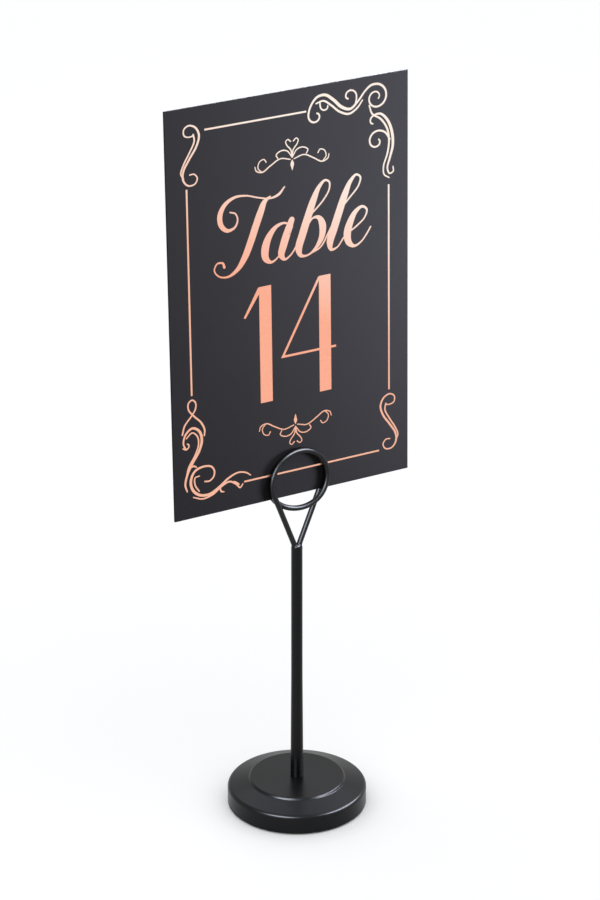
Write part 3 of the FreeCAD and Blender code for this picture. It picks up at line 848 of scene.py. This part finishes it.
# name of each piece: its strokes, the share of their widths that is used, and its foil
artwork = dict(
    foilWord=(wordStrokes, 0.84, "foil"),
    foilUpperFlourish=(flourish, 0.56, "paleFoil"),
    foilLowerFlourish=(flipped(flourish, flourishMiddle), 0.52, "paleFoil"),
    foilUpperLeftScroll=(smallScroll, 0.66, "paleFoil"),
    foilLowerRightScroll=(shifted(mirrored(smallScroll, 0), *scrollShift), 0.64, "paleFoil"),
    foilUpperRightScroll=(largeScroll, 0.66, "paleFoil"),
    foilLowerLeftScroll=(longScroll, 0.64, "paleFoil"))
for name, (strokes, weight, finishName) in artwork.items():
    makeFoil(name, [smoothLine([(u, v, w * weight) for u, v, w in stroke])
                    for stroke in strokes], finishes[finishName])
makeNumber(numberPlates)
print("card and foil made")

# floor, lights and camera
studio = dict(floorSize=14.0, floorDrop=0.0001, floorShade=0.96, worldStrength=0.98,
              lightColour=(0.82, 0.87, 1.0))
softboxes = [
    # name, azimuth, elevation, distance, height it is aimed at, width, height, watts, pieces it
    # lights (all of them when none is named); lengths in metres
    ("leftBox", -58, 28, 1.9, 0.15, 1.2, 0.5, 160, ("baseCover",)),
    ("rightBox", 58, 35, 1.9, 0.15, 2.2, 0.5, 240, ("baseCover",)),
    ("backBox", 150, 60, 2.2, 0.15, 2.6, 1.8, 24, ("baseCover",)),
    ("stemBox", -56, 14, 1.9, 0.15, 1.0, 1.0, 60, ("stemRod",)),
    ("legBox", -52, 12, 1.9, 0.15, 1.1, 1.0, 125, ("clipWire", "brazeBead")),
    ("archBox", 32, 46, 1.9, 0.20, 2.2, 1.2, 440, ("clipWire", "brazeBead")),
    ("lowCardBox", 63, -8, 0.34, 0.20, 0.08, 0.08, 6.0, ("numberCard",)),
    ("highCardBox", 64, 35, 0.34, 0.30, 0.16, 0.16, 10.3, ("numberCard",)),
    ("rearCardBox", 150, 2, 0.9, 0.28, 0.6, 0.5, 55, ("numberCard",)),
    ("topBox", -20, 82, 2.2, 0.15, 1.8, 1.8, 8, ()),
]


def makeStudio(s):
    scene = bpy.context.scene
    half = s["floorSize"] / 2
    mesh = bpy.data.meshes.new("floor")
    corners = [(-half, -half), (half, -half), (half, half), (-half, half)]
    mesh.from_pydata([(x, y, -s["floorDrop"]) for x, y in corners], [], [(0, 1, 2, 3)])
    floor = bpy.data.objects.new("floor", mesh)
    paper = Finish("floorPaper", Roughness=0.9, Specular_IOR_Level=0.1)
    cloud = paper.noise(0.4, 2.0)
    shade = s["floorShade"]
    mesh.materials.append(paper.done(Base_Color=paper.mix(
        cloud, (shade * 0.99, shade * 0.99, shade * 0.99, 1), (shade, shade, shade, 1))))
    scene.collection.objects.link(floor)
    world = bpy.data.worlds.new("studio")
    world.use_nodes = True
    world.node_tree.nodes["Background"].inputs["Color"].default_value = (1, 1, 1, 1)
    world.node_tree.nodes["Background"].inputs["Strength"].default_value = s["worldStrength"]
    scene.world = world
    for name, azimuth, elevation, distance, aim, width, height, watts, lit in softboxes:
        light = bpy.data.lights.new(name, "AREA")
        light.shape = "RECTANGLE"
        light.size = width
        light.size_y = height
        light.color = s["lightColour"]
        light.energy = watts
        lamp = bpy.data.objects.new(name, light)
        back = towards(azimuth, elevation)
        lamp.location = Vector((0, 0, aim)) + back * distance
        lamp.rotation_euler = back.to_track_quat("Z", "Y").to_euler()
        scene.collection.objects.link(lamp)
        if lit:
            lamp.light_linking.receiver_collection = bpy.data.collections.new(name + "Pieces")
            for pieceName in lit:
                lamp.light_linking.receiver_collection.objects.link(scene.objects[pieceName])
    scene.view_settings.view_transform = "Standard"
    scene.view_settings.look = "None"


# camera: direction, distance in metres, focal length and the point it looks at
view = dict(azimuth=-29.52, elevation=23.89, distance=1.4579, lens=138.2,
            target=(0.00156, 0, 0.16864))


def makeCamera(s):
    back = towards(s["azimuth"], s["elevation"])
    data = bpy.data.cameras.new("camera")
    data.lens = s["lens"]
    camera = bpy.data.objects.new("camera", data)
    camera.location = Vector(s["target"]) + back * s["distance"]
    camera.rotation_euler = back.to_track_quat("Z", "Y").to_euler()
    bpy.context.scene.collection.objects.link(camera)
    bpy.context.scene.camera = camera


makeStudio(studio)
makeCamera(view)
print("studio made")
